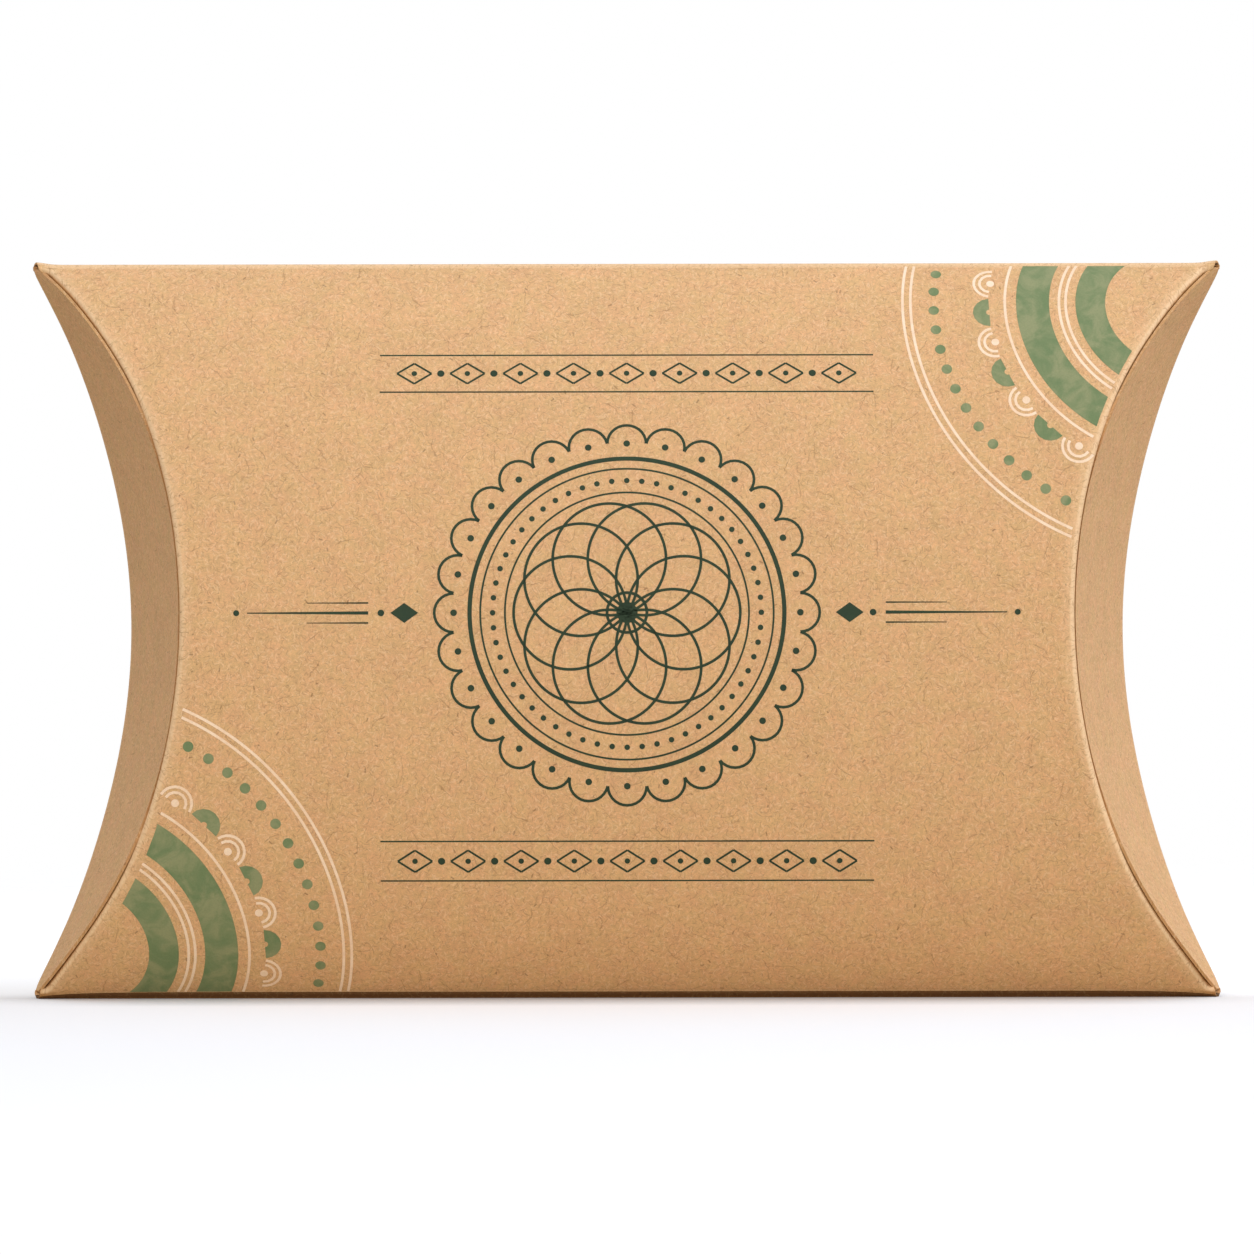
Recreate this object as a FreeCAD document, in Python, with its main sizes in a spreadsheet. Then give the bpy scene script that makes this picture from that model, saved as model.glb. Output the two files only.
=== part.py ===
import FreeCAD
import Part
import Sketcher
import math
import os

from FreeCAD import Placement, Rotation, Vector

# A pillow box: a tube of board, bowed in front and behind, whose ends close with curved flaps.
# X runs along the tube, the front faces -Y and Z is up. The origin lies under the middle of the
# bottom fold. Sizes are in millimetres and degrees.
SIZES = [
    ("box_length", 180.0, "overall, from blunt end to blunt end"),
    ("score_height", 111.8, "between the lines where the two bowed faces would meet"),
    ("box_depth", 36.0, "over the crowns of the two faces"),
    ("bow_margin", 5.5, "how far the bow's ellipse runs past the score line"),
    ("lean_angle", 16.5, "of the ends, so that the front face is the shorter one"),
    ("corner_run", 1.25, "how far past the blunt end the two end creases would meet"),
    ("board", 0.42, "thickness of the board"),
    ("fold_half", 0.8, "half the width of a rolled long edge"),
    ("seat_width", 1.0, "of the flat that the box stands on"),
    ("hinge_gap", 1.7, "from a face to its own flap, across the depth"),
    ("free_gap", 0.9, "from a face to the loose edge of the other face's flap"),
    ("layer_gap", 0.3, "between an outer flap and the inner one under it"),
    ("outer_corner", 3.0, "how far an outer flap stops short of the score line"),
    ("inner_corner", 14.0, "how far an inner flap stops short of the score line"),
    ("inner_short", 14.0, "how far an inner flap stops short of the back face"),
    ("tab_width", 14.0, "of the glue tab, up from its score"),
    ("tab_score", 0.65, "from the end of the front face up to the tab's lower edge"),
    ("tab_end", 15.0, "from the blunt end to the tab's end"),
    ("film", 0.08, "thickness of the glue"),
    ("film_gap", 0.05, "from the glue to the board on either side of it"),
    ("film_margin", 2.0, "of bare tab round the glue"),
]

# Sizes that follow from those above. The bow is an ellipse arc: seen along X, the front and back
# faces cross at the score lines and are tangent to a small round nose at each long edge. Each end
# is the same bow, mirrored in the plane of the crease, so all the creases are flat curves.
DERIVED = [
    ("crown", "=sizes.box_depth / 2"),
    ("score_half", "=sizes.score_height / 2"),
    ("bow_tall", "=score_half + sizes.bow_margin"),
    ("bow_deep", "=crown / (1 - sqrt(1 - (score_half / bow_tall)^2))"),
    ("bow_back", "=bow_deep - crown"),
    ("corner_half", "=sizes.box_length / 2 + sizes.corner_run"),
    ("front_set", "=crown / tan(45 - sizes.lean_angle / 2)"),
    ("back_set", "=crown / tan(45 + sizes.lean_angle / 2)"),
    ("end_centre", "=corner_half * cos(sizes.lean_angle) + bow_back"),
    ("end_deep", "=(sizes.fold_half + bow_back) / bow_deep"),
    ("end_tall", "=sqrt(1 - end_deep^2)"),
    ("end_height", "=bow_tall * end_tall"),
    ("nose_drop", "=sizes.fold_half * bow_deep * end_tall / (bow_tall * end_deep)"),
    ("nose_height", "=end_height - nose_drop"),
    ("nose_radius", "=sqrt(sizes.fold_half^2 + nose_drop^2)"),
    ("seat_height", "=nose_height + sqrt(nose_radius^2 - (sizes.seat_width / 2)^2)"),
]

# How a sketch numbers its own origin and axes, and the points of a line or an arc
ORIGIN = (-1, 1)
ACROSS = -1
UPRIGHT = -2
START, END, CENTRE = 1, 2, 3

doc = FreeCAD.newDocument("pillow_box")


def fill_sheet(name, rows):
    """Write one sheet: an alias, its value or formula and, where there is one, a note."""
    sheet = doc.addObject("Spreadsheet::Sheet", name)
    for number, (alias, value, *note) in enumerate(rows, 1):
        sheet.set("A%d" % number, alias)
        sheet.set("B%d" % number, str(value))
        sheet.setAlias("B%d" % number, alias)
        if note:
            sheet.set("C%d" % number, note[0])
    doc.recompute()
    return sheet


def plane_of(body, role):
    return next(plane for plane in body.Origin.OriginFeatures if plane.Role == role)


def new_body(label):
    """A body whose own origin is at the middle of the box."""
    body = doc.addObject("PartDesign::Body", label)
    body.Label = label
    body.setExpression("Placement.Base.z", "derived.seat_height")
    return body


def new_sketch(body, name, role):
    sketch = body.newObject("Sketcher::SketchObject", name)
    sketch.AttachmentSupport = [(plane_of(body, role), "")]
    sketch.MapMode = "FlatFace"
    return sketch


def drive(sketch, formula, kind, *where):
    """Add a dimension that follows a formula of the sheets."""
    index = sketch.addConstraint(Sketcher.Constraint(kind, *where, sketch.evalExpression(formula)))
    sketch.setExpression("Constraints[%d]" % index, formula)


def hold(sketch, formula, kind, axis, point):
    """Hold a point, along one axis, at the distance from the sketch's origin that a formula gives."""
    value = sketch.evalExpression(formula)
    if value > 0:
        drive(sketch, formula, kind, *ORIGIN, *point)
    elif value < 0:
        drive(sketch, "-(%s)" % formula, kind, *point, *ORIGIN)
    else:
        sketch.addConstraint(Sketcher.Constraint("PointOnObject", *point, axis))


def hold_height(sketch, height, point):
    hold(sketch, height, "DistanceY", ACROSS, point)


def place(sketch, across, height, point):
    hold(sketch, across, "DistanceX", UPRIGHT, point)
    hold_height(sketch, height, point)


def add_polygon(sketch, corners):
    """Add a closed outline of straight lines through corners, each a pair of formulas."""
    points = [Vector(sketch.evalExpression(x), sketch.evalExpression(y), 0) for x, y in corners]
    first = sketch.GeometryCount
    last = first + len(points) - 1
    for number, point in enumerate(points):
        sketch.addGeometry(Part.LineSegment(point, points[(number + 1) % len(points)]))
    for line in range(first, last + 1):
        following = line + 1 if line < last else first
        sketch.addConstraint(Sketcher.Constraint("Coincident", line, END, following, START))
    for line, (across, height) in zip(range(first, last + 1), corners):
        place(sketch, across, height, (line, START))


def add_bow(sketch, centre, deep, tall, low, high, side):
    """Add an ellipse arc that bulges to one side. Returns its upper and lower ends.

    The ends start at the heights low and high, and are left for the caller to hold.
    """
    middle = Vector(sketch.evalExpression(centre), 0, 0)
    short = sketch.evalExpression(deep)
    long = sketch.evalExpression(tall)
    ellipse = Part.Ellipse(middle - Vector(0, side * long, 0), middle + Vector(side * short, 0, 0), middle)
    turns = [math.asin(side * sketch.evalExpression(height) / long) for height in (low, high)]
    arc = sketch.addGeometry(Part.ArcOfEllipse(ellipse, math.pi / 2 + min(turns), math.pi / 2 + max(turns)))
    sketch.exposeInternalGeometry(arc)
    long_axis, short_axis = arc + 1, arc + 2
    sketch.addConstraint(Sketcher.Constraint("Vertical", long_axis))
    drive(sketch, "2 * (%s)" % tall, "Distance", long_axis)
    drive(sketch, "2 * (%s)" % deep, "Distance", short_axis)
    place(sketch, centre, "0", (arc, CENTRE))
    ends = [(arc, START), (arc, END)]
    return ends if side < 0 else ends[::-1]


def join(sketch, first, second):
    """Close an outline with a straight line between two points. Returns the line's index."""
    line = sketch.addGeometry(Part.LineSegment(sketch.getPoint(*first), sketch.getPoint(*second)))
    sketch.addConstraint(Sketcher.Constraint("Coincident", line, START, *first))
    sketch.addConstraint(Sketcher.Constraint("Coincident", line, END, *second))
    return line


def both_ways(feature, profile, length):
    """Run a feature's profile to both sides of its sketch."""
    feature.Profile = profile
    feature.SideType = "Symmetric"
    feature.setExpression("Length", length)


def add_pad(body, profile, length):
    both_ways(body.newObject("PartDesign::Pad", body.Label + "_pad"), profile, length)
    doc.recompute()


def add_pocket(body, profile, length):
    """Cut a profile right through, and make sure that it took something away."""
    before = body.Shape.Volume
    both_ways(body.newObject("PartDesign::Pocket", profile.Label + "_cut"), profile, length)
    doc.recompute()
    if body.Shape.Volume >= before:
        raise RuntimeError("%s cuts nothing" % profile.Label)


def close_level(sketch, first, second, high, low):
    """Close two bows at the top and the bottom with level lines, at heights given by formulas."""
    for first_end, second_end, height in zip(first, second, (high, low)):
        hold_height(sketch, height, first_end)
        cap = join(sketch, first_end, second_end)
        sketch.addConstraint(Sketcher.Constraint("Horizontal", cap))


def add_face_profile(sketch, side):
    """Outline a bowed face, whose two ends are square to the noses of the long edges."""
    centre = "%d * derived.bow_back" % -side
    outer = add_bow(sketch, centre, "derived.bow_deep", "derived.bow_tall",
                    "-derived.end_height", "derived.end_height", side)
    inner = add_bow(sketch, centre, "derived.bow_deep - sizes.board", "derived.bow_tall - sizes.board",
                    "sizes.board - derived.end_height", "derived.end_height - sizes.board", side)
    for outer_end, inner_end, up in zip(outer, inner, (1, -1)):
        nose = sketch.addGeometry(Part.Point(Vector(0, up * derived.nose_height, 0)), True)
        place(sketch, "0", "%d * derived.nose_height" % up, (nose, START))
        hold_height(sketch, "%d * derived.end_height" % up, outer_end)
        cap = join(sketch, outer_end, inner_end)
        sketch.addConstraint(Sketcher.Constraint("PointOnObject", nose, START, cap))


def make_face(label, side, set_back):
    """A bowed face, cut off at both ends in the planes of its creases.

    The cut stands off by the board's own slant, so that the inner corner lies on the crease.
    """
    body = new_body(label)
    profile = new_sketch(body, label + "_profile", "YZ_Plane")
    add_face_profile(profile, side)
    add_pad(body, profile, "sizes.box_length")
    ends = new_sketch(body, label + "_ends", "XY_Plane")
    edge = "(derived.corner_half - sizes.board * %s / derived.crown)" % set_back
    inmost = "(%s - 2 * %s)" % (edge, set_back)
    beyond = "(2 * derived.corner_half)"
    for end in (-1, 1):
        add_polygon(ends, [("%d * %s" % (end, edge), "0"),
                           ("%d * %s" % (end, beyond), "0"),
                           ("%d * %s" % (end, beyond), "%d * 2 * derived.crown" % side),
                           ("%d * %s" % (end, inmost), "%d * 2 * derived.crown" % side)])
    add_pocket(body, ends, "2 * sizes.score_height")
    return body


def make_fold(label, up):
    """A rolled long edge: a part of a small tube that joins the two faces."""
    body = new_body(label)
    profile = new_sketch(body, label + "_profile", "YZ_Plane")
    middle = Vector(0, up * derived.nose_height, 0)
    half_turn = math.asin(sizes.fold_half / derived.nose_radius)
    top = up * math.pi / 2
    arcs = []
    for radius in (derived.nose_radius, derived.nose_radius - sizes.board):
        circle = Part.Circle(middle, Vector(0, 0, 1), radius)
        arcs.append(profile.addGeometry(Part.ArcOfCircle(circle, top - half_turn, top + half_turn)))
    outer, inner = arcs
    place(profile, "0", "%d * derived.nose_height" % up, (outer, CENTRE))
    profile.addConstraint(Sketcher.Constraint("Coincident", inner, CENTRE, outer, CENTRE))
    drive(profile, "derived.nose_radius", "Radius", outer)
    drive(profile, "derived.nose_radius - sizes.board", "Radius", inner)
    for end in (START, END):
        hold_height(profile, "%d * derived.end_height" % up, (outer, end))
        cap = join(profile, (outer, end), (inner, end))
        profile.addConstraint(Sketcher.Constraint("PointOnObject", outer, CENTRE, cap))
    add_pad(body, profile, "sizes.box_length")
    return body


def make_bottom_fold(label):
    """The lower long edge, with the narrow flat that the box stands on."""
    body = make_fold(label, -1)
    seat = new_sketch(body, label + "_seat", "YZ_Plane")
    add_polygon(seat, [("-sizes.box_depth", "-derived.seat_height"),
                       ("sizes.box_depth", "-derived.seat_height"),
                       ("sizes.box_depth", "-2 * derived.seat_height"),
                       ("-sizes.box_depth", "-2 * derived.seat_height")])
    add_pocket(body, seat, "2 * sizes.box_length")
    return body


def make_strip(label, inset, thickness, low, high, end_gap):
    """A strip that follows the inside of the front face between two heights, with square ends."""
    body = new_body(label)
    profile = new_sketch(body, label + "_profile", "YZ_Plane")
    outer, inner = [add_bow(profile, "derived.bow_back", "derived.bow_deep - (%s)" % depth,
                            "derived.bow_tall - (%s)" % depth, low, high, -1)
                    for depth in (inset, "%s + %s" % (inset, thickness))]
    close_level(profile, outer, inner, high, low)
    add_pad(body, profile, "sizes.box_length - 2 * (%s)" % end_gap)
    return body


def make_flap(label, end, inset, gaps, corner):
    """An end flap: the bow of an end, trimmed to the space between the faces.

    gaps holds its distance from the front and back faces, and corner how far it stops short of
    the score lines.
    """
    body = new_body(label)
    profile = new_sketch(body, label + "_profile", "XZ_Plane")
    profile.AttachmentOffset = Placement(Vector(), Rotation(Vector(0, -end, 0), sizes.lean_angle))
    profile.setExpression("AttachmentOffset.Rotation.Angle", "sizes.lean_angle")
    low, high = "-derived.score_half", "derived.score_half"
    outer, inner = [add_bow(profile, "%d * derived.end_centre" % end, "derived.bow_deep + (%s)" % depth,
                            "derived.bow_tall + (%s)" % depth, low, high, -end)
                    for depth in (inset, "%s + sizes.board" % inset)]
    close_level(profile, outer, inner, high, low)
    add_pad(body, profile, "2 * sizes.box_length")
    trim = new_sketch(body, label + "_trim", "YZ_Plane")
    add_polygon(trim, [("-2 * sizes.box_length", "-sizes.score_height"),
                       ("2 * sizes.box_length", "-sizes.score_height"),
                       ("2 * sizes.box_length", "sizes.score_height"),
                       ("-2 * sizes.box_length", "sizes.score_height")])
    tip = "(derived.score_half - %s)" % corner
    front, back = [add_bow(trim, "%d * (derived.bow_back + %s)" % (-side, gap), "derived.bow_deep",
                           "derived.bow_tall", "-" + tip, tip, side)
                   for side, gap in zip((-1, 1), gaps)]
    close_level(trim, front, back, tip, "-" + tip)
    add_pocket(body, trim, "4 * derived.corner_half")
    return body


def check_document():
    """Stop if any object of the document failed."""
    for item in doc.Objects:
        if {"Invalid", "Error"} & set(item.State):
            raise RuntimeError("%s failed: %s" % (item.Label, item.State))


def export(bodies):
    """Write each sub-part to its own file once all of them are sound."""
    check_document()
    for body in bodies:
        if body.Shape.isNull() or not body.Shape.isValid() or len(body.Shape.Solids) != 1:
            raise RuntimeError("%s is not one sound solid" % body.Label)
    os.makedirs("parts", exist_ok=True)
    for body in bodies:
        body.Shape.exportStep("parts/%s.step" % body.Label)
        print("%-18s %10.2f mm3" % (body.Label, body.Shape.Volume))


sizes = fill_sheet("sizes", SIZES)
derived = fill_sheet("derived", DERIVED)

tab_low = "sizes.tab_score - derived.end_height"
tab_high = "sizes.tab_width - derived.end_height"
parts = [
    make_face("front_panel", -1, "derived.front_set"),
    make_face("back_panel", 1, "derived.back_set"),
    make_fold("top_fold", 1),
    make_bottom_fold("bottom_fold"),
    make_strip("glue_tab", "sizes.board + sizes.film + 2 * sizes.film_gap", "sizes.board",
               tab_low, tab_high, "sizes.tab_end"),
    make_strip("glue_film", "sizes.board + sizes.film_gap", "sizes.film", tab_low + " + sizes.film_margin",
               tab_high + " - sizes.film_margin", "sizes.tab_end + sizes.film_margin"),
]
for side_name, side_end in (("left", -1), ("right", 1)):
    parts.append(make_flap(side_name + "_outer_flap", side_end, "0",
                           ("sizes.free_gap", "sizes.hinge_gap"), "sizes.outer_corner"))
    parts.append(make_flap(side_name + "_inner_flap", side_end, "sizes.board + sizes.layer_gap",
                           ("sizes.hinge_gap", "sizes.inner_short"), "sizes.inner_corner"))
export(parts)
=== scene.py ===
import math

import bmesh
import bpy
import numpy as np
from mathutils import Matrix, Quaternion, Vector


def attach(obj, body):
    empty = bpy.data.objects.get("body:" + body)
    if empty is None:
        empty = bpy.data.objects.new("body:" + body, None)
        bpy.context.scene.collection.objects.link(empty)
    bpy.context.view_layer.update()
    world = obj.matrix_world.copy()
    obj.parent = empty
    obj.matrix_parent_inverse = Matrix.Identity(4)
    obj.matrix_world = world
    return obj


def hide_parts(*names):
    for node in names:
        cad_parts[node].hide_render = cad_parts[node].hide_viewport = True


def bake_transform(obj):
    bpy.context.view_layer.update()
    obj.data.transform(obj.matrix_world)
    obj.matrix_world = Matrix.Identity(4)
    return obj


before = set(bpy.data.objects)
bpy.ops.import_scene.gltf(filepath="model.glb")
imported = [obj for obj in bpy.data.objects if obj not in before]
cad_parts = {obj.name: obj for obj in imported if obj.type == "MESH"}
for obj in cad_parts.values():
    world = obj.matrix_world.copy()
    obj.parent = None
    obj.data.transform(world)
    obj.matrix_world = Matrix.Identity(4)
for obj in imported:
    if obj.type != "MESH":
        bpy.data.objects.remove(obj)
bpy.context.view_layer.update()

# Lengths below are in millimetres, and MM brings them to the frame's metres.
MM = 0.001

# The board's own sizes, the same as the solids have
BOX_LENGTH = 180.0
SCORE_HEIGHT = 111.8
BOX_DEPTH = 36.0
BOW_MARGIN = 5.5
LEAN = math.radians(16.5)
CORNER_RUN = 1.25
BOARD = 0.42
FOLD_HALF = 0.8
SEAT_WIDTH = 1.0
GLUE_FILM = 0.08
FILM_GAP = 0.05
FILM_MARGIN = 2.0
TAB_WIDTH = 14.0
TAB_SCORE = 0.65
TAB_END = 15.0
INNER_CORNER = 14.0
INNER_SHORT = 14.0
INNER_ROUND = 6.0

# What follows from them: the bow of the faces, the creases and the small round noses of the edges
CROWN = BOX_DEPTH / 2
SCORE_HALF = SCORE_HEIGHT / 2
BOW_TALL = SCORE_HALF + BOW_MARGIN
BOW_DEEP = CROWN / (1 - math.sqrt(1 - (SCORE_HALF / BOW_TALL) ** 2))
BOW_BACK = BOW_DEEP - CROWN
CORNER_HALF = BOX_LENGTH / 2 + CORNER_RUN
CREASE_SET = {-1: CROWN / math.tan(math.pi / 4 - LEAN / 2), 1: CROWN / math.tan(math.pi / 4 + LEAN / 2)}
END_DEEP = (FOLD_HALF + BOW_BACK) / BOW_DEEP
END_TALL = math.sqrt(1 - END_DEEP ** 2)
END_HEIGHT = BOW_TALL * END_TALL
NOSE_DROP = FOLD_HALF * BOW_DEEP * END_TALL / (BOW_TALL * END_DEEP)
NOSE_HEIGHT = END_HEIGHT - NOSE_DROP
NOSE_RADIUS = math.hypot(FOLD_HALF, NOSE_DROP)
SEAT_HEIGHT = NOSE_HEIGHT + math.sqrt(NOSE_RADIUS ** 2 - (SEAT_WIDTH / 2) ** 2)

# How the folded board differs from the plain solids
FRONT_ROLL = 0.85
BACK_ROLL = 0.5
FRONT_INSET = 0.56
FLAP_GAP = 0.22
TUCK_INSET = 0.1
TUCK_GAP = 1.82
TUCK_DEPTH = 0.2
TUCK_TURN = math.radians(60)
TUCK_RUN = 1.0
TUCK_EASE = 0.5
TUCK_FROM = 0.3
TUCK_FADE = 0.4
SINK_RUN = 8.0
FLAP_TIP = 54.5
TIP_RUN = 2.6
TIP_GAP = 0.8
NUB_REACH = 0.32
NUB_ROUND = 0.1
NUB_SLOPE = 0.4
TOP_RISE = 0.2
TOP_NUB = 0.38
TOP_NUB_RUN = 3.5
FLOOR_LIFT = 0.69
FLOOR_LIFT_RUN = 5.0
KEEL_SHARP = 0.35
SETTLE_FROM = 46.0
BELLY_RISE = 0.72
BELLY_LEAN = 0.48
BACK_SWING = 1.08
BACK_WAVE = 1.1 * math.pi
BACK_HOLD = 60
FRONT_EASE = 0.4
FRONT_SPREAD = 0.4
SPREAD_FROM = 0.54
SPREAD_RUN = 0.33
FRONT_TILT = 0.75
FRONT_HOLD = 20
SEAM_GAP = 0.08

# How finely the sheets are divided
LIP_STEPS = 13
FACE_STEPS = 93
EDGE_ROWS = 17
STRIP_ROWS, STRIP_COLUMNS = 16, 61
CLOSE_ROWS = np.array([0, 0.12, 0.25, 0.4, 0.6, 0.85, 1.15, 1.5, 2.0, 2.6, 3.3])
EDGE_SHARES = np.concatenate([[-1, -0.999, -0.997], np.linspace(-0.99, 0.99, 121), [0.997, 0.999, 1]])
OUTER_SHARES = np.concatenate([[0, 0.01, 0.03], np.linspace(0.06, 0.97, 38), [0.985, 1]])
INNER_SHARES = np.concatenate([[0, 0.01, 0.02, 0.035], np.linspace(0.05, 1, 24)])
WELD_DISTANCE = 1e-7
SHARP_ANGLE = math.radians(40)

FRONT, BACK = -1, 1
LEFT, RIGHT = -1, 1


def smooth(share):
    share = np.clip(share, 0, 1)
    return share * share * (3 - 2 * share)


def bow(height):
    """How far a face stands off the middle plane at a height above the middle of the box."""
    return BOW_DEEP * np.sqrt(1 - (height / BOW_TALL) ** 2) - BOW_BACK


def bow_normal(height):
    """The outward normal of a face, as its parts along the depth and along Z."""
    deep = (bow(height) + BOW_BACK) / BOW_DEEP ** 2
    tall = height / BOW_TALL ** 2
    size = np.hypot(deep, tall)
    return deep / size, tall / size


def stack(x, y, z):
    return np.stack(np.broadcast_arrays(x, y, z), -1).astype(float)


def settle(points):
    """The standing box rests on its corners and on the keel of its bottom edge, and the rest rides up."""
    x, y, z = np.abs(points[..., 0]), points[..., 1], points[..., 2]
    near_edge = smooth((np.abs(z) - SETTLE_FROM) / (SEAT_HEIGHT - SETTLE_FROM))
    reach = np.maximum(BOX_LENGTH / 2 - x, 0)
    rise = TOP_RISE + TOP_NUB * (1 - smooth(reach / TOP_NUB_RUN))
    off_keel = np.clip(np.abs(y) / FOLD_HALF, 0, 1) ** KEEL_SHARP
    drop = FLOOR_LIFT * ((1 - np.exp(-reach / FLOOR_LIFT_RUN)) * off_keel - 1)
    belly = (BELLY_RISE - BELLY_LEAN * y / CROWN) * np.maximum(1 - (z / END_HEIGHT) ** 2, 0)
    moved = points.copy()
    shift = FLOOR_LIFT + belly + near_edge * np.where(z > 0, rise, drop)
    moved[..., 2] = np.maximum(z + shift, -SEAT_HEIGHT)
    return moved


def tucked(height):
    """1 in the middle of an end, where the outer flap sits behind the front crease, and 0 at its tips."""
    return 1 - smooth((np.abs(height) / END_HEIGHT - TUCK_FROM) / TUCK_FADE)


def crease_reach(face, height):
    """How far a face's creases are from the middle at a height, with the sway of the bent board."""
    share = np.minimum(np.abs(height) / END_HEIGHT, 1)
    if face == BACK:
        sway = -BACK_SWING * np.cos(BACK_WAVE * share) * (1 - share ** BACK_HOLD)
    else:
        spread = FRONT_SPREAD * smooth((share - SPREAD_FROM) / SPREAD_RUN)
        sway = FRONT_EASE + spread - TUCK_EASE * tucked(height)
        sway = (sway - FRONT_TILT * height / END_HEIGHT) * (1 - share ** FRONT_HOLD)
    return CORNER_HALF - CREASE_SET[face] * bow(height) / CROWN + sway


def row_heights(low, high, step=1.0):
    """Heights of the rows of a sheet, close together where its ends are rolled."""
    near, reach = CLOSE_ROWS[:-1], CLOSE_ROWS[-1]
    count = int(round((high - low - 2 * reach) / step))
    middle = np.linspace(low + reach, high - reach, count)
    return np.concatenate([low + near, middle, (high - near)[::-1]])


def build(name, verts, faces, uvs, wear_and_shading=None, weld=True):
    """A closed mesh object in the frame's metres, with board coordinates and crease wear and painted
    shading.
    """
    mesh = bpy.data.meshes.new(name)
    lifted = np.array(verts, float) + (0, 0, SEAT_HEIGHT)
    mesh.from_pydata((lifted * MM).tolist(), [], faces)
    layer = mesh.uv_layers.new(name="board")
    corner = np.zeros(len(mesh.loops), np.int32)
    mesh.loops.foreach_get("vertex_index", corner)
    layer.data.foreach_set("uv", np.array(uvs, np.float32)[corner].ravel())
    if wear_and_shading is not None:
        attribute = mesh.attributes.new("wear_and_shading", "FLOAT", "POINT")
        attribute.data.foreach_set("value", np.array(wear_and_shading, np.float32).ravel())
    shaper = bmesh.new()
    shaper.from_mesh(mesh)
    if weld:
        bmesh.ops.remove_doubles(shaper, verts=shaper.verts, dist=WELD_DISTANCE)
    bmesh.ops.recalc_face_normals(shaper, faces=shaper.faces)
    shaper.to_mesh(mesh)
    shaper.free()
    mesh.shade_smooth()
    mesh.set_sharp_from_angle(angle=SHARP_ANGLE)
    piece = bpy.data.objects.new(name, mesh)
    bpy.context.scene.collection.objects.link(piece)
    return piece


def shell_faces(rows, columns, ring=False):
    """Faces of a thin closed shell over two grids of points, the second numbered after the first.

    In a ring the last column joins up with the first.
    """
    count = rows * columns
    place = np.arange(count).reshape(rows, columns)
    if ring:
        place = np.concatenate([place, place[:, :1]], axis=1)
        rims = [place[0, :-1], place[-1, :0:-1]]
    else:
        rims = [np.concatenate([place[0, :-1], place[:-1, -1], place[-1, :0:-1], place[:0:-1, 0]])]
    quads = np.stack([place[:-1, :-1], place[:-1, 1:], place[1:, 1:], place[1:, :-1]], -1).reshape(-1, 4)
    sides = [np.stack([np.roll(rim, -1), rim, rim + count, np.roll(rim, -1) + count], -1) for rim in rims]
    return np.concatenate([quads, quads[:, ::-1] + count] + sides)


def sheet(name, outer, inner, wear_and_shading, shift, inner_wear_and_shading=None):
    """A board sheet: an outer and an inner grid of points, closed round all four sides."""
    rows, columns = outer.shape[:2]
    middle = (outer + inner) / 2
    along = np.zeros((rows, columns))
    along[:, 1:] = np.cumsum(np.linalg.norm(np.diff(middle, axis=1), axis=2), axis=1)
    along -= along[:, columns // 2][:, None]
    across = np.zeros((rows, columns))
    across[1:] = np.cumsum(np.linalg.norm(np.diff(middle, axis=0), axis=2), axis=0)
    across = np.repeat(across[:, columns // 2][:, None], columns, axis=1)
    flat = np.stack([along + shift[0], across + shift[1]], -1).reshape(-1, 2)
    verts = np.concatenate([outer.reshape(-1, 3), inner.reshape(-1, 3)])
    both_wear_and_shading = np.stack([wear_and_shading, wear_and_shading if inner_wear_and_shading is None else inner_wear_and_shading])
    faces = shell_faces(rows, columns).tolist()
    return build(name, settle(verts), faces, np.concatenate([flat, flat + BOARD]), both_wear_and_shading)


def end_cut(depth):
    """Where the ends cut off the long edges at a slope, which leaves their rolls open."""
    rounding = NUB_ROUND * np.maximum(1 - np.abs(depth) / NOSE_RADIUS, 0) ** 2
    return BOX_LENGTH / 2 + NUB_REACH - (NOSE_RADIUS - depth) * NUB_SLOPE - rounding


ROLLS = {FRONT: FRONT_ROLL, BACK: BACK_ROLL}
CORNER_RUNS = {FRONT: 1.2, BACK: 0.5}
CORNER_FREE = 0.25


def crease(face, heights):
    """The right crease of a face at each height: where its roll starts, the normals there and its turn.

    The roll is tangent to the face and to a sheet that lies inset under the end's surface.
    """
    radius = ROLLS[face]
    tuck = tucked(heights) if face == FRONT else 0 * heights
    inset = FRONT_INSET + (TUCK_INSET - FRONT_INSET) * tuck if face == FRONT else 0 * heights
    deep, tall = bow_normal(heights)
    normal = stack(0 * heights, face * deep, tall)
    plane = np.array([CROWN, face * CREASE_SET[face], 0]) / math.hypot(CROWN, CREASE_SET[face])
    cosine = normal @ plane
    half_turn = np.arccos(cosine)
    along = (plane - cosine[:, None] * normal) / np.sin(half_turn)[:, None]
    back_off = inset / np.sin(2 * half_turn) + radius * np.tan(half_turn)
    point = stack(crease_reach(face, heights), face * bow(heights), heights)
    start = point - back_off[:, None] * along
    held = smooth((END_HEIGHT - CORNER_FREE - np.abs(heights)) / CORNER_RUNS[face])
    start[:, 2] = heights + held * (start[:, 2] - heights)
    start[:, 1] = face * bow(start[:, 2])
    cut = end_cut(start[:, 1])
    start[:, 0] = np.minimum(cut + held * (start[:, 0] - cut), cut)
    deep, tall = bow_normal(start[:, 2])
    normal = stack(0 * deep, face * deep, tall)
    turn = (2 * half_turn + TUCK_TURN * tuck) * held
    return {"start": start, "normal": normal, "along": along, "turn": turn, "radius": radius, "held": held}


def roll(edge, inside):
    """Points of the roll beyond a crease's start, a depth inside its outer face, one column a step."""
    centre = edge["start"] - edge["radius"] * edge["normal"]
    radius = edge["radius"] - inside
    columns = []
    for step in np.linspace(0, 1, LIP_STEPS):
        angle = (edge["turn"] * step)[:, None]
        columns.append(centre + radius * (np.cos(angle) * edge["normal"] + np.sin(angle) * edge["along"]))
    return np.stack(columns, 1)


MIRROR = np.array([-1, 1, 1])
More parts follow.
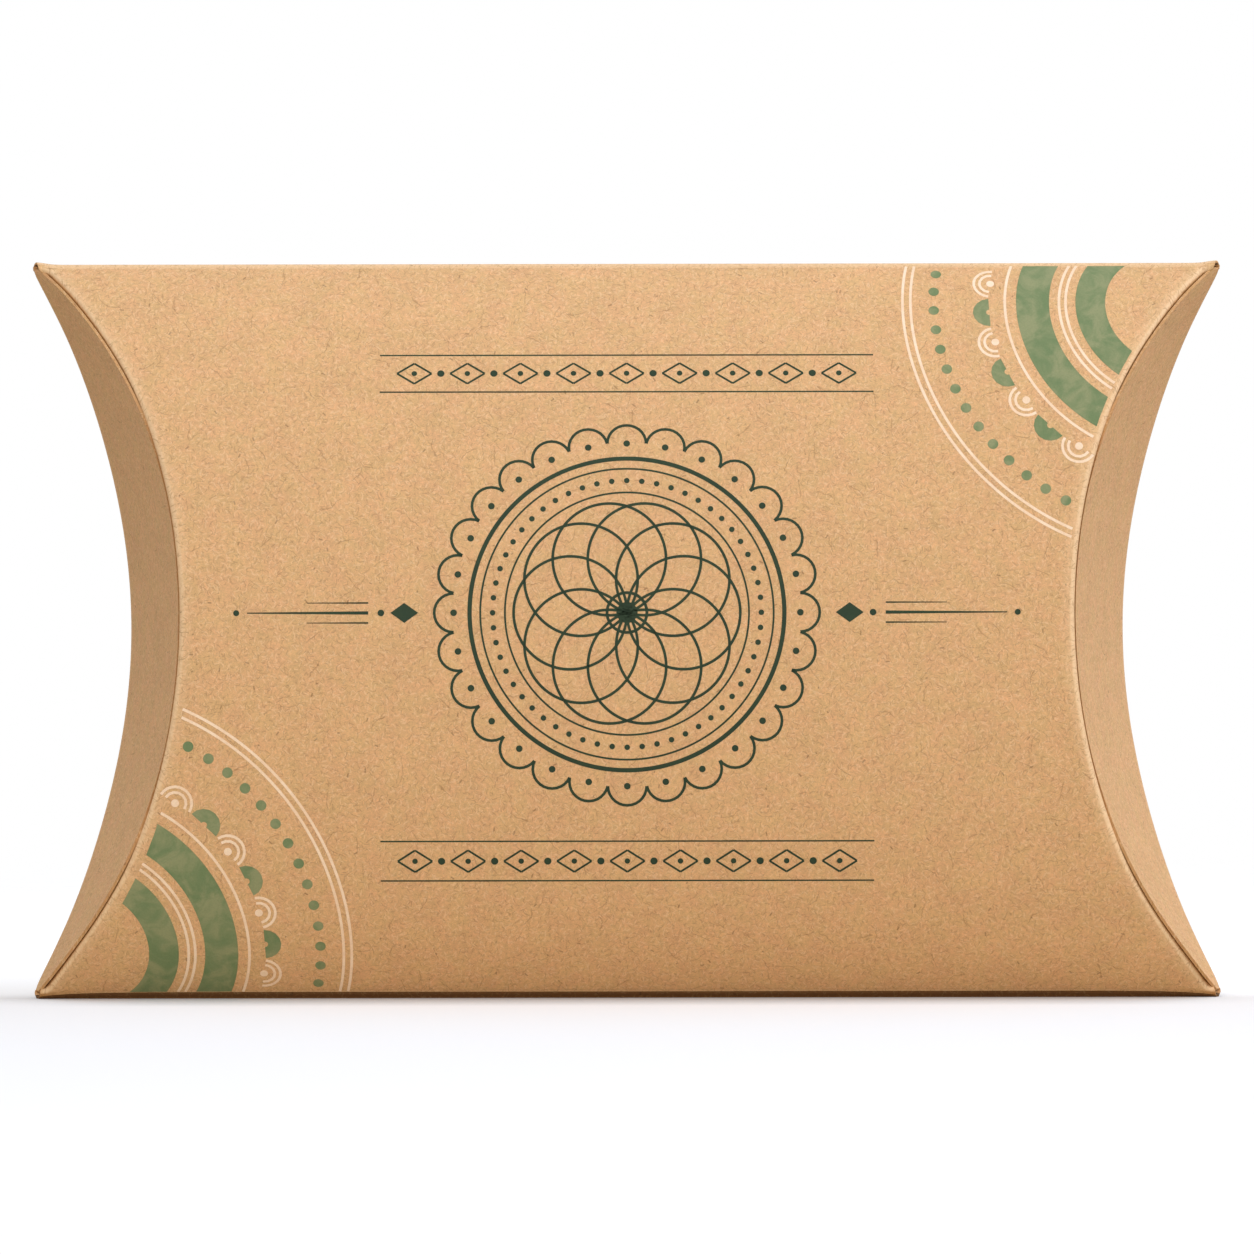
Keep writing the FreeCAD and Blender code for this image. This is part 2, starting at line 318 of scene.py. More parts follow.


# Wear and shading: above 0 a fold is lighter, rubbed wear with painted highlight where light catches it,
# below 0 the board is darker, shades pressed or cut board with painted shade in the gaps beside it, and
# below -1 is painted shade inside a roll and under the box
# Along the turn of a front lip: a painted highlight on the crest, partly rubbed wear, then painted shade
# past it, partly pressed board
LIP_TURNS = np.radians([0, 12, 25, 60, 75, 90, 110])
LIP_WEAR_AND_SHADING = [0.35, 0.8, 1.0, 0.9, 0.3, -0.3, -0.7]
# Darker towards the corners, where a lip opens out
OPEN_LIP_DARKENING = -0.6
# Painted highlight along the scored fold at the top and bottom of a face, partly rubbed wear
FOLD_RUB_AND_HIGHLIGHT = 0.55
FOLD_HIGHLIGHT_RUN = 0.9
FLAP_WEAR = 0.4
# Top edge lighter, a painted highlight where light falls from above; bottom edge darker, painted shade
# under the box
EDGE_HIGHLIGHT_AND_SHADE = {1: 0.8, -1: -1.8}
# Painted shade inside the rolls of the long edges
INSIDE_ROLL_SHADE = -2.0
# Loose cut edge of an outer flap darker, pressed colour that paints the shade of the gap beside the front
# crease
CUT_EDGE_SHADE = -0.6


def make_face(name, face, heights, shift):
    """A bowed face with both its creases rolled over."""
    edge = crease(face, heights)
    shares = np.linspace(-1, 1, FACE_STEPS)[1:-1]
    ends = edge["start"]
    layers = []
    for depth in (0, BOARD):
        flat = ends - depth * edge["normal"]
        middle = stack(flat[:, :1] * shares, flat[:, 1:2], flat[:, 2:3])
        lip = roll(edge, depth)
        layers.append(np.concatenate([(lip * MIRROR)[:, ::-1], middle, lip], axis=1))
    wear_and_shading = np.zeros(layers[0].shape[:2])
    # Painted highlight along the folds at the top and bottom, and on the lips painted highlight and shade,
    # partly wear
    wear_and_shading[:] = FOLD_RUB_AND_HIGHLIGHT * smooth((np.abs(heights) - END_HEIGHT + FOLD_HIGHLIGHT_RUN) / FOLD_HIGHLIGHT_RUN)[:, None]
    share, held = np.linspace(0, 1, LIP_STEPS), edge["held"][:, None]
    lip_wear_and_shading = np.interp(edge["turn"][:, None] * share, LIP_TURNS, LIP_WEAR_AND_SHADING)
    lip_wear_and_shading = lip_wear_and_shading * held + OPEN_LIP_DARKENING * share * (1 - held)
    wear_and_shading[:, -LIP_STEPS:] = lip_wear_and_shading
    wear_and_shading[:, :LIP_STEPS] = lip_wear_and_shading[:, ::-1]
    return sheet(name, layers[0], layers[1], wear_and_shading, shift)


def make_edge(name, up, shift):
    """A rolled long edge with its open ends."""
    half_turn = math.asin(FOLD_HALF / NOSE_RADIUS)
    angles = np.linspace(-half_turn, half_turn, EDGE_ROWS)
    layers = []
    for depth in (0, BOARD):
        radius = NOSE_RADIUS - depth
        y = radius * np.sin(angles)
        z = up * (NOSE_HEIGHT + radius * np.cos(angles))
        reach = end_cut(NOSE_RADIUS * np.sin(angles))
        layers.append(stack(reach[:, None] * EDGE_SHARES, y[:, None], z[:, None]))
    # Painted highlight on the top edge and painted shade on the bottom edge and inside both rolls
    wear_and_shading = np.full(layers[0].shape[:2], EDGE_HIGHLIGHT_AND_SHADE[up])
    return sheet(name, layers[0], layers[1], wear_and_shading, shift, np.full(wear_and_shading.shape, INSIDE_ROLL_SHADE))


# Along and off the leaning right end, at mid-height
ALONG_END = np.array([math.sin(LEAN), math.cos(LEAN), 0])
OFF_END = np.array([math.cos(LEAN), -math.sin(LEAN), 0])


def flap_normal(side, heights):
    deep, tall = bow_normal(heights)
    return stack(side * deep * math.cos(LEAN), -deep * math.sin(LEAN), -tall)


def make_outer_flap(name, side, shift):
    """An outer end flap, from the roll of the back face to its loose edge beside the front crease."""
    heights = row_heights(-FLAP_TIP, FLAP_TIP)
    edge = crease(BACK, heights)
    start = roll(edge, 0)[:, -1]
    z = start[:, 2]
    tuck = tucked(z)
    slack = FLAP_GAP + TIP_GAP * smooth((np.abs(z) - FLAP_TIP + TIP_RUN) / TIP_RUN)
    slack = slack + (TUCK_GAP - FLAP_GAP) * tuck
    front = stack(crease_reach(FRONT, z), -bow(z), z)
    loose = front + slack[:, None] * ALONG_END - TUCK_DEPTH * tuck[:, None] * OFF_END
    shares = OUTER_SHARES[:, None]
    outer = start[:, None] * (1 - shares) + loose[:, None] * shares
    inner = outer - BOARD * flap_normal(RIGHT, z)[:, None]
    if side == LEFT:
        outer, inner = outer * MIRROR, inner * MIRROR
    wear_and_shading = np.zeros(outer.shape[:2])
    wear_and_shading[:, :2] = FLAP_WEAR
    # Painted shade of the gap beside the front crease on the loose edge
    wear_and_shading[:, -1] = CUT_EDGE_SHADE
    return sheet(name, outer, inner, wear_and_shading, shift)


def make_inner_flap(name, side, shift):
    """An inner end flap, from the roll of the front face to its loose edge short of the back."""
    limit = SCORE_HALF - INNER_CORNER
    heights = row_heights(-limit, limit)
    edge = crease(FRONT, heights)
    start = roll(edge, 0)[:, -1]
    z = start[:, 2]
    depth = bow(z)
    length = (depth - start[:, 1] - INNER_SHORT) / math.cos(LEAN)
    corner = np.clip((np.abs(z) - limit + INNER_ROUND) / INNER_ROUND, 0, 1)
    length = length - INNER_ROUND * (1 - np.sqrt(1 - corner ** 2))
    run = length[:, None] * INNER_SHARES
    tuck = tucked(z)[:, None]
    sunk = tuck * (1 - np.exp(-run / TUCK_RUN)) + (1 - tuck) * smooth(run / SINK_RUN)
    sunk = math.tan(TUCK_TURN) * TUCK_RUN * sunk
    outer = start[:, None] + run[..., None] * ALONG_END - sunk[..., None] * OFF_END
    inner = outer - BOARD * flap_normal(RIGHT, z)[:, None]
    if side == LEFT:
        outer, inner = outer * MIRROR, inner * MIRROR
    wear_and_shading = np.zeros(outer.shape[:2])
    # Painted shade of the gap under the front lip where the inner flap starts
    wear_and_shading[:, :2] = LIP_WEAR_AND_SHADING[-1]
    return sheet(name, outer, inner, wear_and_shading, shift)


def make_strip(name, depth, thickness, low, high, half_length, shift):
    """A strip against the inside of the front face."""
    heights = np.linspace(low, high, STRIP_ROWS)
    deep, tall = bow_normal(heights)
    normal = stack(0 * heights, FRONT * deep, tall)
    x = np.linspace(-half_length, half_length, STRIP_COLUMNS)
    layers = []
    for inset in (depth, depth + thickness):
        line = stack(0 * heights, FRONT * bow(heights), heights) - inset * normal
        layers.append(stack(x[None, :], line[:, 1:2], line[:, 2:3]))
    return sheet(name, layers[0], layers[1], np.zeros(layers[0].shape[:2]), shift)


# Shader nodes

def node(tree, kind, inputs=None, **settings):
    """Add a node, set its properties and fill its sockets with values or with other sockets."""
    made = tree.nodes.new(kind)
    for key, value in settings.items():
        setattr(made, key, value)
    for key, value in (inputs or {}).items():
        socket = made.inputs[key]
        if isinstance(value, bpy.types.NodeSocket):
            tree.links.new(value, socket)
        else:
            socket.default_value = value
    return made


def maths(tree, operation, *values):
    return node(tree, "ShaderNodeMath", dict(enumerate(values)), operation=operation).outputs[0]


def vector_maths(tree, operation, *values):
    return node(tree, "ShaderNodeVectorMath", dict(enumerate(values)), operation=operation).outputs[0]


def ramp(tree, value, low, high, to_low=0.0, to_high=1.0, smoothly=True):
    """A value carried from one range to another, held at both ends."""
    kind = "SMOOTHSTEP" if smoothly else "LINEAR"
    made = node(tree, "ShaderNodeMapRange", {"Value": value, "From Min": low, "From Max": high,
                                             "To Min": to_low, "To Max": to_high}, interpolation_type=kind)
    return made.outputs["Result"]


def noise(tree, place, scale, detail, roughness=0.55, distortion=0.0):
    made = node(tree, "ShaderNodeTexNoise", {"Vector": place, "Scale": scale, "Detail": detail,
                                             "Roughness": roughness, "Distortion": distortion})
    return made.outputs["Fac"]


def fibres(tree, place, cell, length, width, share, offset):
    """Short bent fibres, one to a cell at most, each turned its own way. Returns a mask."""
    moved = vector_maths(tree, "ADD", place, offset)
    moved = vector_maths(tree, "MULTIPLY", moved, (1 / cell, 1 / cell, 0))
    cells = node(tree, "ShaderNodeTexVoronoi", {"Vector": moved, "Scale": 1.0}, voronoi_dimensions="2D")
    local = vector_maths(tree, "SUBTRACT", moved, cells.outputs["Position"])
    chance = node(tree, "ShaderNodeSeparateColor", {"Color": cells.outputs["Color"]}).outputs
    angle = maths(tree, "MULTIPLY", chance[0], 2 * math.pi)
    turned = node(tree, "ShaderNodeVectorRotate", {"Vector": local, "Angle": angle},
                  rotation_type="Z_AXIS").outputs[0]
    parts = node(tree, "ShaderNodeSeparateXYZ", {"Vector": turned}).outputs
    bend = maths(tree, "MULTIPLY", maths(tree, "SUBTRACT", chance[1], 0.5), 2.4)
    arc = maths(tree, "MULTIPLY", maths(tree, "MULTIPLY", parts[0], parts[0]), bend)
    off_line = maths(tree, "ABSOLUTE", maths(tree, "ADD", parts[1], arc))
    on_line = ramp(tree, off_line, width / cell, 0.3 * width / cell)
    within = ramp(tree, maths(tree, "ABSOLUTE", parts[0]), length / cell / 2, 0.6 * length / cell / 2)
    chosen = maths(tree, "LESS_THAN", chance[2], share)
    return maths(tree, "MULTIPLY", maths(tree, "MULTIPLY", on_line, within), chosen)


def mix(tree, factor, first, second):
    made = node(tree, "ShaderNodeMix", {"Factor": factor}, data_type="RGBA")
    for socket, value in zip((made.inputs[6], made.inputs[7]), (first, second)):
        if isinstance(value, bpy.types.NodeSocket):
            tree.links.new(value, socket)
        else:
            socket.default_value = value
    return made.outputs[2]


def linear(red, green, blue):
    """A colour given in 0 to 255 steps, as the shader's linear colour."""
    def one(step):
        share = step / 255
        return share / 12.92 if share <= 0.04045 else ((share + 0.055) / 1.055) ** 2.4
    return (one(red), one(green), one(blue), 1.0)


def new_material(name):
    made = bpy.data.materials.new(name)
    made.use_nodes = True
    tree = made.node_tree
    tree.nodes.clear()
    surface = node(tree, "ShaderNodeBsdfPrincipled")
    output = node(tree, "ShaderNodeOutputMaterial")
    tree.links.new(surface.outputs[0], output.inputs[0])
    return made, tree, surface


def board_place(tree):
    """Board coordinates in millimetres, which lie in the sheet and bend with it."""
    return node(tree, "ShaderNodeUVMap", uv_map="board").outputs[0]


def crevice(tree, distance):
    """How open a place is: 1 on an open face, towards 0 deep in a fold or a corner, for painting shade
    into a colour.
    """
    made = node(tree, "ShaderNodeAmbientOcclusion", {"Distance": distance}, samples=CREVICE_SAMPLES)
    return made.outputs["AO"]


CREVICE_SAMPLES = 6
CREVICE = 1.5 * MM
# Colour factor of the painted shade deep in folds, gaps and corners
CREVICE_SHADE_COLOUR = (0.62, 0.46, 0.235, 1)
INSIDE_SHADE = 0.3
KRAFT_ROSY = linear(219, 171, 125)
KRAFT_SANDY = linear(215, 174, 123)
KRAFT_FLECK = linear(112, 72, 40)
KRAFT_DARK = linear(150, 104, 62)
KRAFT_LIGHT = linear(240, 206, 164)
KRAFT_WORN_HIGHLIGHT = linear(242, 208, 166)
KRAFT_PRESSED_SHADE = linear(176, 124, 68)


def make_kraft():
    """Uncoated kraft board: cloudy pulp, felted grain, fibres both ways and dark flecks, with painted
    highlights on folds and painted shade in creases, gaps and under the box.
    """
    made, tree, surface = new_material("kraft_board")
    place = board_place(tree)
    warp = node(tree, "ShaderNodeTexNoise", {"Vector": place, "Scale": 0.9, "Detail": 2.0})
    bent = vector_maths(tree, "SUBTRACT", warp.outputs["Color"], (0.5, 0.5, 0.5))
    bent = vector_maths(tree, "MULTIPLY", bent, (0.9, 0.9, 0))
    bent = vector_maths(tree, "ADD", place, bent)
    clouds = noise(tree, place, 0.16, 4, 0.6)
    blush = noise(tree, place, 0.33, 3, 0.6)
    felt = noise(tree, bent, 1.7, 5, 0.66, 0.5)
    grain = noise(tree, bent, 5.0, 3, 0.65)
    tone = maths(tree, "ADD", ramp(tree, clouds, 0.25, 0.75, -0.06, 0.06, False),
                 ramp(tree, felt, 0.2, 0.8, -0.2, 0.2, False))
    tone = maths(tree, "ADD", tone, ramp(tree, grain, 0.2, 0.8, -0.22, 0.22, False))
    tint = mix(tree, ramp(tree, blush, 0.3, 0.7), KRAFT_ROSY, KRAFT_SANDY)
    base = vector_maths(tree, "SCALE", tint)
    tree.links.new(maths(tree, "ADD", tone, 1.0), base.node.inputs["Scale"])
    # Lighter where the board is rubbed and where a highlight is painted on folds, darker where it is
    # pressed or cut and where shade is painted
    wear_and_shading = node(tree, "ShaderNodeAttribute", attribute_name="wear_and_shading").outputs["Fac"]
    patchy_strength = ramp(tree, felt, 0.3, 0.7, 0.5, 0.95)
    worn_and_highlit = maths(tree, "MULTIPLY", ramp(tree, wear_and_shading, 0, 1, smoothly=False), patchy_strength)
    colour = mix(tree, worn_and_highlit, base, KRAFT_WORN_HIGHLIGHT)
    pressed_and_shaded = ramp(tree, wear_and_shading, 0, -1, 0, 0.75, False)
    colour = mix(tree, pressed_and_shaded, colour, KRAFT_PRESSED_SHADE)
    dark = fibres(tree, bent, 0.85, 0.8, 0.10, 0.6, (3.1, 7.7, 0))
    dark = maths(tree, "MAXIMUM", dark, fibres(tree, bent, 1.3, 1.3, 0.10, 0.5, (17.3, 1.9, 0)))
    light = fibres(tree, bent, 0.8, 0.75, 0.11, 0.6, (9.4, 23.8, 0))
    light = maths(tree, "MAXIMUM", light, fibres(tree, bent, 1.2, 1.2, 0.10, 0.55, (31.5, 5.2, 0)))
    strand = fibres(tree, bent, 4.6, 3.4, 0.11, 0.4, (51.0, 33.3, 0))
    fleck = fibres(tree, place, 5.5, 0.75, 0.16, 0.3, (2.2, 44.1, 0))
    speck = fibres(tree, place, 3.1, 0.4, 0.15, 0.07, (71.2, 13.4, 0))
    colour = mix(tree, maths(tree, "MULTIPLY", light, 0.42), colour, KRAFT_LIGHT)
    colour = mix(tree, maths(tree, "MULTIPLY", dark, 0.32), colour, KRAFT_DARK)
    colour = mix(tree, maths(tree, "MULTIPLY", strand, 0.4), colour, KRAFT_DARK)
    specked = maths(tree, "MAXIMUM", fleck, speck)
    colour = mix(tree, maths(tree, "MULTIPLY", specked, 0.5), colour, KRAFT_FLECK)
    # Painted shade: the colour is darkened and warmed deep in folds, gaps and corners, and darkened again
    # inside the rolls and under the box
    open_share = ramp(tree, crevice(tree, CREVICE), 0.15, 0.9)
    crevice_shaded = vector_maths(tree, "MULTIPLY", colour, mix(tree, open_share, CREVICE_SHADE_COLOUR, (1, 1, 1, 1)))
    shaded = vector_maths(tree, "SCALE", crevice_shaded)
    tree.links.new(ramp(tree, wear_and_shading, -1, -2, 1, INSIDE_SHADE, False), shaded.node.inputs["Scale"])
    tree.links.new(shaded, surface.inputs["Base Color"])
    roughness = ramp(tree, felt, 0.2, 0.8, 0.74, 0.9, False)
    tree.links.new(roughness, surface.inputs["Roughness"])
    surface.inputs["Specular IOR Level"].default_value = 0.35
    relief = maths(tree, "ADD", felt, maths(tree, "MULTIPLY", grain, 0.5))
    hairs = maths(tree, "SUBTRACT", light, dark)
    relief = maths(tree, "ADD", relief, maths(tree, "MULTIPLY", hairs, 0.25))
    bump = node(tree, "ShaderNodeBump", {"Height": relief, "Strength": 0.5, "Distance": 0.06 * MM})
    tree.links.new(bump.outputs[0], surface.inputs["Normal"])
    return made


def make_glue():
    """Dried white glue, milky and a little uneven."""
    made, tree, surface = new_material("glue")
    place = board_place(tree)
    pools = noise(tree, place, 0.6, 3)
    colour = mix(tree, ramp(tree, pools, 0.3, 0.7), linear(222, 212, 190), linear(240, 234, 218))
    tree.links.new(colour, surface.inputs["Base Color"])
    tree.links.new(ramp(tree, pools, 0.3, 0.7, 0.32, 0.5), surface.inputs["Roughness"])
    return made


kraft = make_kraft()
glue = make_glue()


def finish_piece(piece, material, slot, *nodes):
    piece.data.materials.append(material)
    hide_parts(*nodes)
    return piece


face_rows = row_heights(-END_HEIGHT, END_HEIGHT)
front_rows = row_heights(-END_HEIGHT + SEAM_GAP, END_HEIGHT)
front = make_face("front_board", FRONT, front_rows, (0, 0))
back = make_face("back_board", BACK, face_rows, (412, 260))
for piece, name in ((front, "front_panel"), (back, "back_panel")):
    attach(finish_piece(piece, kraft, "kraft_board", name), "carton")
for up, name, shift in ((1, "top", (803, 91)), (-1, "bottom", (77, 533))):
    piece = make_edge(name + "_edge", up, shift)
    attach(finish_piece(piece, kraft, "kraft_board", name + "_fold"), "carton")

tab_depth = BOARD + GLUE_FILM + 2 * FILM_GAP
tab_low, tab_high = TAB_SCORE - END_HEIGHT, TAB_WIDTH - END_HEIGHT
tab_half = BOX_LENGTH / 2 - TAB_END
tab = make_strip("seam_tab", tab_depth, BOARD, tab_low, tab_high, tab_half, (290, 610))
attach(finish_piece(tab, kraft, "kraft_board", "glue_tab"), "carton")
film = make_strip("seam_glue", BOARD + FILM_GAP, GLUE_FILM, tab_low + FILM_MARGIN, tab_high - FILM_MARGIN,
                  tab_half - FILM_MARGIN, (0, 0))
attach(finish_piece(film, glue, "glue", "glue_film"), "carton")

for side, word, shift in ((LEFT, "left", 1500), (RIGHT, "right", 2300)):
    flap = make_outer_flap(word + "_outer_board", side, (shift, 40))
    finish_piece(flap, kraft, "kraft_board", word + "_outer_flap")
    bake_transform(flap)
    flap = make_inner_flap(word + "_inner_board", side, (shift, 340))
    finish_piece(flap, kraft, "kraft_board", word + "_inner_flap")
    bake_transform(flap)


# Print on the front, laid out in flat board millimetres from the middle of the face

INK_TOP = 0.02
INK_UNDER = -0.01
FLAT_Z = np.linspace(-END_HEIGHT, END_HEIGHT, 1201)
FLAT_STEPS = np.hypot(np.diff(FLAT_Z), np.diff(bow(FLAT_Z)))
FLAT_V = np.concatenate([[0], np.cumsum(FLAT_STEPS)]) - FLAT_STEPS.sum() / 2


def on_front(flat, lift):
    """Flat print points bent onto the front face, a little above or under its surface."""
    z = np.interp(flat[..., 1], FLAT_V, FLAT_Z)
    deep, tall = bow_normal(z)
    return stack(flat[..., 0], -bow(z), z) + lift * stack(0 * z, -deep, tall)


def stroke(path, width, ring=False):
    """A line of ink along a path of flat points."""
    ahead = np.roll(path, -1, axis=0) - np.roll(path, 1, axis=0)
    if not ring:
        ahead[0] = path[1] - path[0]
        ahead[-1] = path[-1] - path[-2]
    ahead /= np.linalg.norm(ahead, axis=1)[:, None]
    aside = np.stack([-ahead[:, 1], ahead[:, 0]], -1) * np.broadcast_to(width, len(path))[:, None] / 2
    return np.stack([path - aside, path + aside]), ring


def polar(centre, radius, angle):
    return np.stack([centre[0] + radius * np.cos(angle), centre[1] + radius * np.sin(angle)], -1)


def circle(centre, radius, width):
    count = max(16, int(2 * math.pi * radius / 0.6))
    return stroke(polar(centre, radius, np.linspace(0, 2 * math.pi, count, endpoint=False)), width, True)


def arc(centre, radius, width, low, high):
    count = max(8, int(abs(high - low) * radius / 0.6))
    return stroke(polar(centre, radius, np.linspace(low, high, count)), width)


def band(centre, inside, outside, low, high):
    """A filled sector of a ring."""
    radii = np.linspace(inside, outside, max(2, int((outside - inside) / 0.8) + 1))
    angles = np.linspace(low, high, max(6, int(abs(high - low) * outside / 0.8)))
    return polar(centre, radii[:, None], angles[None, :]), False


def line(start, end, width_start, width_end):
    count = max(4, int(math.dist(start, end) / 0.8))
    share = np.linspace(0, 1, count)
    path = np.array(start) * (1 - share[:, None]) + np.array(end) * share[:, None]
    return stroke(path, width_start + (width_end - width_start) * share)


def dot(centre, radius):
    """A filled disc, on a square grid drawn out round."""
    side = np.linspace(-1, 1, 7)
    x, y = np.meshgrid(side, side)
    flat = np.stack([x * np.sqrt(1 - y * y / 2), y * np.sqrt(1 - x * x / 2)], -1)
    return np.array(centre) + radius * flat, False


def lozenge(centre, half_wide, half_tall):
    side = np.linspace(-1, 1, 5)
    x, y = np.meshgrid(side, side)
    flat = np.stack([(x + y) / 2 * half_wide, (x - y) / 2 * half_tall], -1)
    return np.array(centre) + flat, False


def print_piece(name, patches, material):
    """One colour of print as thin closed shells that ride on the carton."""
    verts, faces, flats = [], [], []
    count = 0
    for grid, ring in patches:
        rows, columns = grid.shape[:2]
        flat = grid.reshape(-1, 2)
        verts += [on_front(flat, INK_TOP), on_front(flat, INK_UNDER)]
        flats += [flat, flat]
        faces += (shell_faces(rows, columns, ring) + count).tolist()
        count += 2 * len(flat)
    piece = build(name, settle(np.concatenate(verts)), faces, np.concatenate(flats), weld=False)
    piece.data.materials.append(material)
    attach(piece, "carton")


def make_ink(name, main, other, roughness):
    """Flat printing ink: pooled unevenly, with the board's grain faint under it."""
    made, tree, surface = new_material(name)
    place = board_place(tree)
    pools = noise(tree, place, 0.22, 4, 0.6, 0.8)
    grain = noise(tree, place, 3.5, 4, 0.65)
    colour = mix(tree, ramp(tree, pools, 0.35, 0.65), main, other)
    shaded = vector_maths(tree, "SCALE", colour)
    tree.links.new(ramp(tree, grain, 0.25, 0.75, 0.9, 1.1, False), shaded.node.inputs["Scale"])
    tree.links.new(shaded, surface.inputs["Base Color"])
    surface.inputs["Roughness"].default_value = roughness
    surface.inputs["Specular IOR Level"].default_value = 0.3
    bump = node(tree, "ShaderNodeBump", {"Height": grain, "Strength": 0.3, "Distance": 0.04 * MM})
    tree.links.new(bump.outputs[0], surface.inputs["Normal"])
    return made


green_ink = make_ink("green_ink", linear(40, 58, 37), linear(34, 52, 34), 0.7)
sage_ink = make_ink("sage_ink", linear(112, 131, 90), linear(143, 148, 108), 0.75)
cream_ink = make_ink("cream_ink", linear(250, 224, 196), linear(243, 212, 180), 0.75)

TURN = 2 * math.pi
QUARTER = TURN / 4
INK_LINE = 0.42
MEDALLION = (0.0, 1.5)
MEDALLION_RINGS = ((23.6, 0.65), (22.0, 0.28), (18.3, 0.28), (3.0, 0.45))
MEDALLION_HUB = 1.6
ROSETTE = 10
ROSETTE_RADIUS = 8.5
SCALLOPS = 28
SCALLOP_RING, SCALLOP_DOT = 26.0, 0.5
BEAD_RING, BEAD_DOT = 20.15, 0.42


def medallion():
    """A compass-drawn rosette of crossing circles, in rings with beads and a scalloped rim."""
    patches = [circle(MEDALLION, radius, width) for radius, width in MEDALLION_RINGS]
    patches.append(dot(MEDALLION, MEDALLION_HUB))
    for step in range(ROSETTE):
        centre = polar(MEDALLION, ROSETTE_RADIUS, TURN * step / ROSETTE)
        patches.append(circle(centre, ROSETTE_RADIUS, INK_LINE))
    for step in range(2 * SCALLOPS):
        patches.append(dot(polar(MEDALLION, BEAD_RING, TURN * step / SCALLOPS / 2), BEAD_DOT))
    scallop = SCALLOP_RING * math.sin(math.pi / SCALLOPS)
    for step in range(SCALLOPS):
        facing = TURN * step / SCALLOPS
        centre = polar(MEDALLION, SCALLOP_RING, facing)
        patches.append(arc(centre, scallop, INK_LINE, facing - QUARTER, facing + QUARTER))
        patches.append(dot(centre, SCALLOP_DOT))
    return patches


LOZENGE_OFF, LOZENGE_WIDE, LOZENGE_TALL = 33.4, 2.1, 1.5
NEAR_DOT_OFF, NEAR_DOT = 36.9, 0.5
FAR_DOT_OFF, FAR_DOT = 58.6, 0.45
RULE_FROM, RULE_TO, SHORT_RULE_TO = 38.8, 57.0, 48.0
RULE_LINES, SHORT_RULE_LINES = (0.5, 0.16), (0.24, 0.1)
SHORT_RULE_GAP = 1.5


def side_rules():
    """Tapered rules with lozenges and dots, left and right of the medallion."""
    patches = []
    level = MEDALLION[1]
    for side in (LEFT, RIGHT):
        patches.append(lozenge((side * LOZENGE_OFF, level), LOZENGE_WIDE, LOZENGE_TALL))
        patches.append(dot((side * NEAR_DOT_OFF, level), NEAR_DOT))
        patches.append(line((side * RULE_FROM, level), (side * RULE_TO, level), *RULE_LINES))
        for gap in (-SHORT_RULE_GAP, SHORT_RULE_GAP):
            start, end = (side * RULE_FROM, level + gap), (side * SHORT_RULE_TO, level + gap)
            patches.append(line(start, end, *SHORT_RULE_LINES))
        patches.append(dot((side * FAR_DOT_OFF, level), FAR_DOT))
    return patches


CHAIN_OFF = 37.5
CHAIN_LINKS, CHAIN_PITCH = 9, 8.0
LINK_WIDE, LINK_TALL, LINK_LINE = 2.6, 1.7, 0.3
LINK_DOT, CHAIN_DOT = 0.42, 0.55
CHAIN_END, CHAIN_RULE_GAP, CHAIN_RULE_LINE = 5.2, 3.1, 0.22


def chain_bands():
    """A chain of hollow lozenges and dots between two fine rules, over and under the medallion."""
    patches = []
    for level in (MEDALLION[1] - CHAIN_OFF, MEDALLION[1] + CHAIN_OFF):
        first = -(CHAIN_LINKS - 1) / 2 * CHAIN_PITCH
        for step in range(CHAIN_LINKS):
            middle = first + step * CHAIN_PITCH
            corners = [(middle - LINK_WIDE, level), (middle, level + LINK_TALL),
                       (middle + LINK_WIDE, level), (middle, level - LINK_TALL)]
            for start, end in zip(corners, corners[1:] + corners[:1]):
                patches.append(line(start, end, LINK_LINE, LINK_LINE))
            patches.append(dot((middle, level), LINK_DOT))
            if step < CHAIN_LINKS - 1:
                patches.append(dot((middle + CHAIN_PITCH / 2, level), CHAIN_DOT))
        reach = -first + CHAIN_END
        for gap in (-CHAIN_RULE_GAP, CHAIN_RULE_GAP):
            start, end = (-reach, level + gap), (reach, level + gap)
            patches.append(line(start, end, CHAIN_RULE_LINE, CHAIN_RULE_LINE))
    return patches


CORNER = np.array([83.5, 51.0])
RIPPLE_BANDS = ((11.0, 15.5), (19.5, 24.5))
RIPPLE_LINES = (17.0, 18.0, 26.2, 40.5, 41.7)
RIPPLE_ROWS, RIPPLE_STEPS, ANGLE_STEPS = 9, 60, 1441
ROUNDS, ROUNDS_RING, ROUNDS_LIMIT, ROUNDS_SHARE = 7, 28.6, 33.0, 0.92
ROUND_HOLE, ROUND_DOT, ROUND_ARCS = 0.5, 0.6, (1.0, 0.66)
BEADS, BEADS_RING, BEADS_DOT = 14, 37.0, 0.8
PRINT_MARGIN = 0.25
FRONT_LIMIT = crease(FRONT, FLAT_Z)["start"]


def ripple_angles(radius):
    """The angles between which a ring about the upper right corner stays on the front face."""
    angles = np.linspace(0.5 * math.pi, 1.5 * math.pi, ANGLE_STEPS)
    points = polar(CORNER, radius, angles)
    z = np.interp(points[:, 1], FLAT_V, FLAT_Z)
    limit = np.interp(z, FRONT_LIMIT[:, 2], FRONT_LIMIT[:, 0]) - PRINT_MARGIN
    inside = np.nonzero((points[:, 0] < limit) & (points[:, 1] < FLAT_V[-1] - PRINT_MARGIN))[0]
    return angles[inside[0]], angles[inside[-1]]


